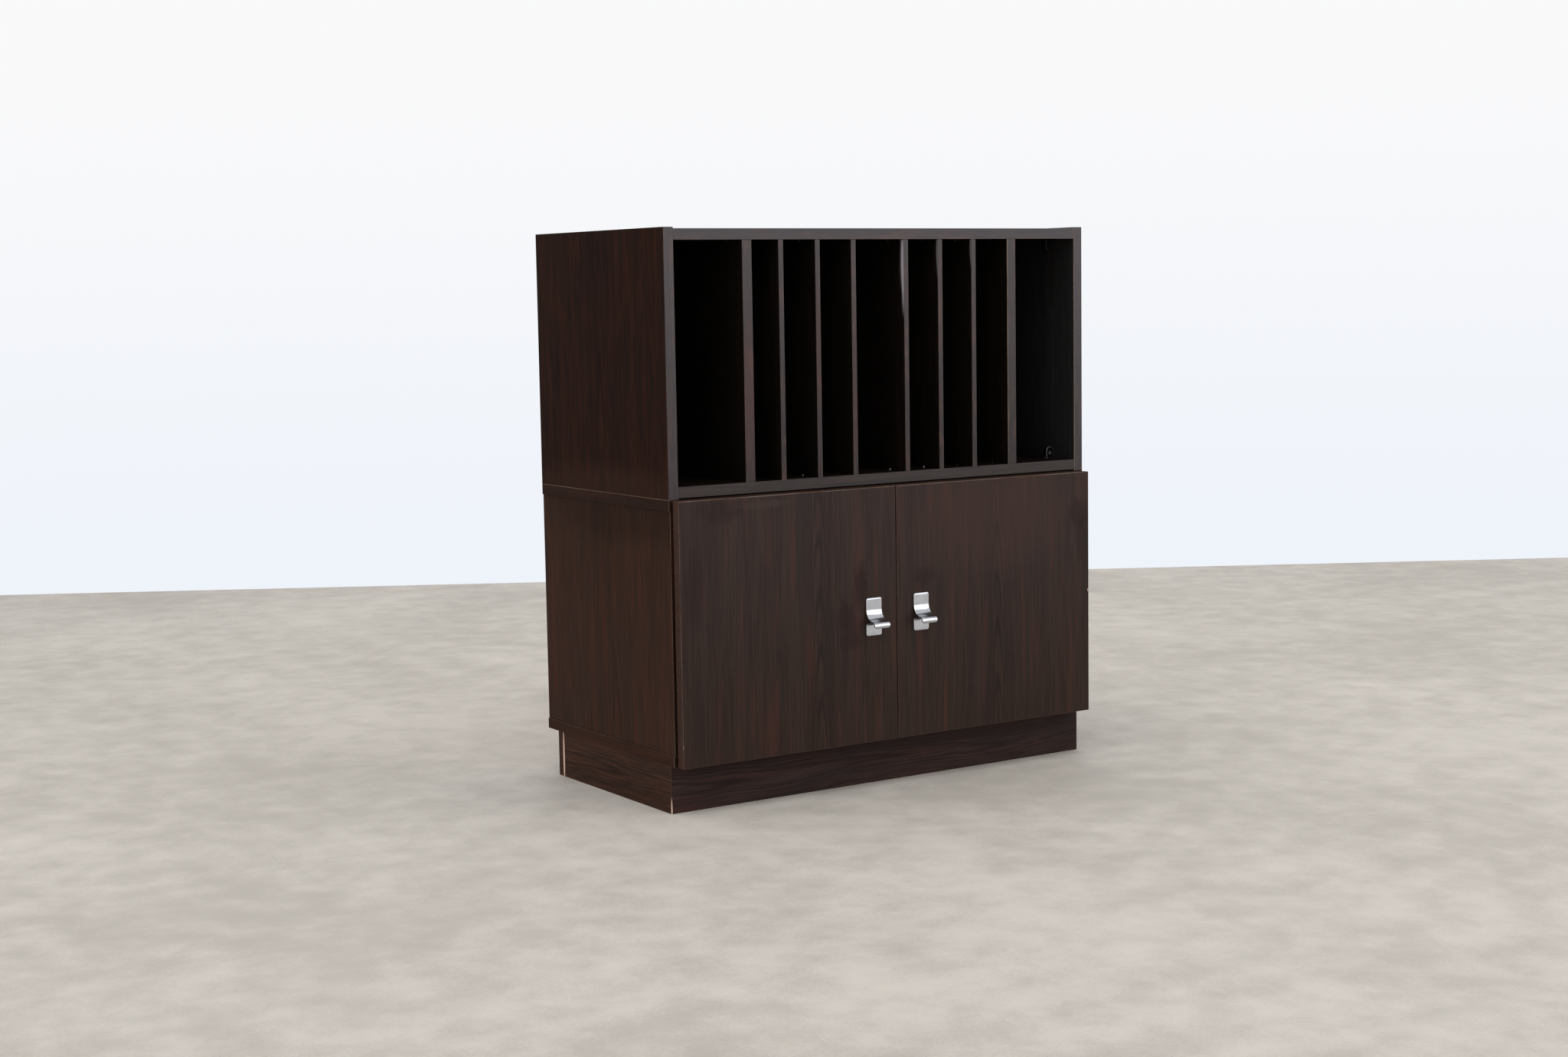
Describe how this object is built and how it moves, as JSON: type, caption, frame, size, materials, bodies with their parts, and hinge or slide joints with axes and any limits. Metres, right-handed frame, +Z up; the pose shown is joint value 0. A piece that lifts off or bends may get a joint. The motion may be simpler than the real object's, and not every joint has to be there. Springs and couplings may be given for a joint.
{
  "type": "record cabinet",
  "caption": "Record cabinet: open upper case with upright dividers for sleeves, over a two-door cupboard with curved metal pulls, on a recessed plinth.",
  "frame": {"origin": "on the floor, at the middle of the overall width and of the overall depth with the pulls", "axes": "+Z up, the doors and the open bays face -Y, +X to the right for someone facing the doors"},
  "size_m": [0.764, 0.4309, 0.838],
  "materials": {
    "dark_laminate": "satin dark woodgrain laminate",
    "edge_band": "satin dark edge band",
    "hardboard": "matt hardboard",
    "raw_wood": "raw sanded wood",
    "satin_aluminium": "satin, softly bevelled",
    "plated_steel": "nickel plated",
    "zinc_screws": "zinc plated",
    "brown_plastic": "moulded",
    "magnet": "dull"
  },
  "bodies": {
    "carcass": {"catch_housings": "brown_plastic", "catch_magnets": "magnet", "catch_screws": "zinc_screws", "corner_fitting_screws": "zinc_screws", "corner_fittings": "brown_plastic", "divider_1": "dark_laminate", "divider_2": "dark_laminate", "divider_3": "dark_laminate", "divider_4": "dark_laminate", "divider_5": "dark_laminate", "divider_6": "dark_laminate", "divider_edgings": "edge_band", "divider_pins": "plated_steel", "dowels": "raw_wood", "hinge_arm_screws": "zinc_screws", "hinge_arms": "plated_steel", "hinge_mounting_plates": "plated_steel", "hinge_plate_screws": "zinc_screws", "left_partition": "dark_laminate", "lower_back_panel": "hardboard", "lower_bottom_board": "dark_laminate", "lower_bottom_board_edging": "edge_band", "lower_left_side": "dark_laminate", "lower_right_side": "dark_laminate", "lower_side_edgings": "edge_band", "lower_top_board": "dark_laminate", "lower_top_board_edging": "edge_band", "plinth_back": "dark_laminate", "plinth_block_screws": "zinc_screws", "plinth_corner_blocks": "raw_wood", "plinth_front": "dark_laminate", "plinth_left_side": "dark_laminate", "plinth_right_side": "dark_laminate", "right_partition": "dark_laminate", "upper_back_panel": "hardboard", "upper_bottom_board": "dark_laminate", "upper_bottom_board_edging": "edge_band", "upper_left_side": "dark_laminate", "upper_left_side_edging": "edge_band", "upper_right_side": "dark_laminate", "upper_right_side_edging": "edge_band", "upper_top_board": "dark_laminate", "upper_top_board_edging": "edge_band"},
    "left_door": {"left_door_edging": "edge_band", "left_door_panel": "dark_laminate", "left_hinge_cup_screws": "zinc_screws", "left_hinge_cups": "plated_steel", "left_hinge_pins": "plated_steel", "left_pull": "satin_aluminium", "left_pull_screws": "zinc_screws", "left_strike_plate": "plated_steel"},
    "right_door": {"right_door_edging": "edge_band", "right_door_panel": "dark_laminate", "right_hinge_cup_screws": "zinc_screws", "right_hinge_cups": "plated_steel", "right_hinge_pins": "plated_steel", "right_pull": "satin_aluminium", "right_pull_screws": "zinc_screws", "right_strike_plate": "plated_steel"}
  },
  "joints": [
    {"name": "left_door_hinge", "type": "hinge", "parent": "carcass", "child": "left_door", "pos_m": [-0.3705, -0.18405, 0.2615], "axis": [0, 0, -1], "range_deg": [0, 95]},
    {"name": "right_door_hinge", "type": "hinge", "parent": "carcass", "child": "right_door", "pos_m": [0.3705, -0.18405, 0.2615], "axis": [0, 0, 1], "range_deg": [0, 95]}
  ]
}
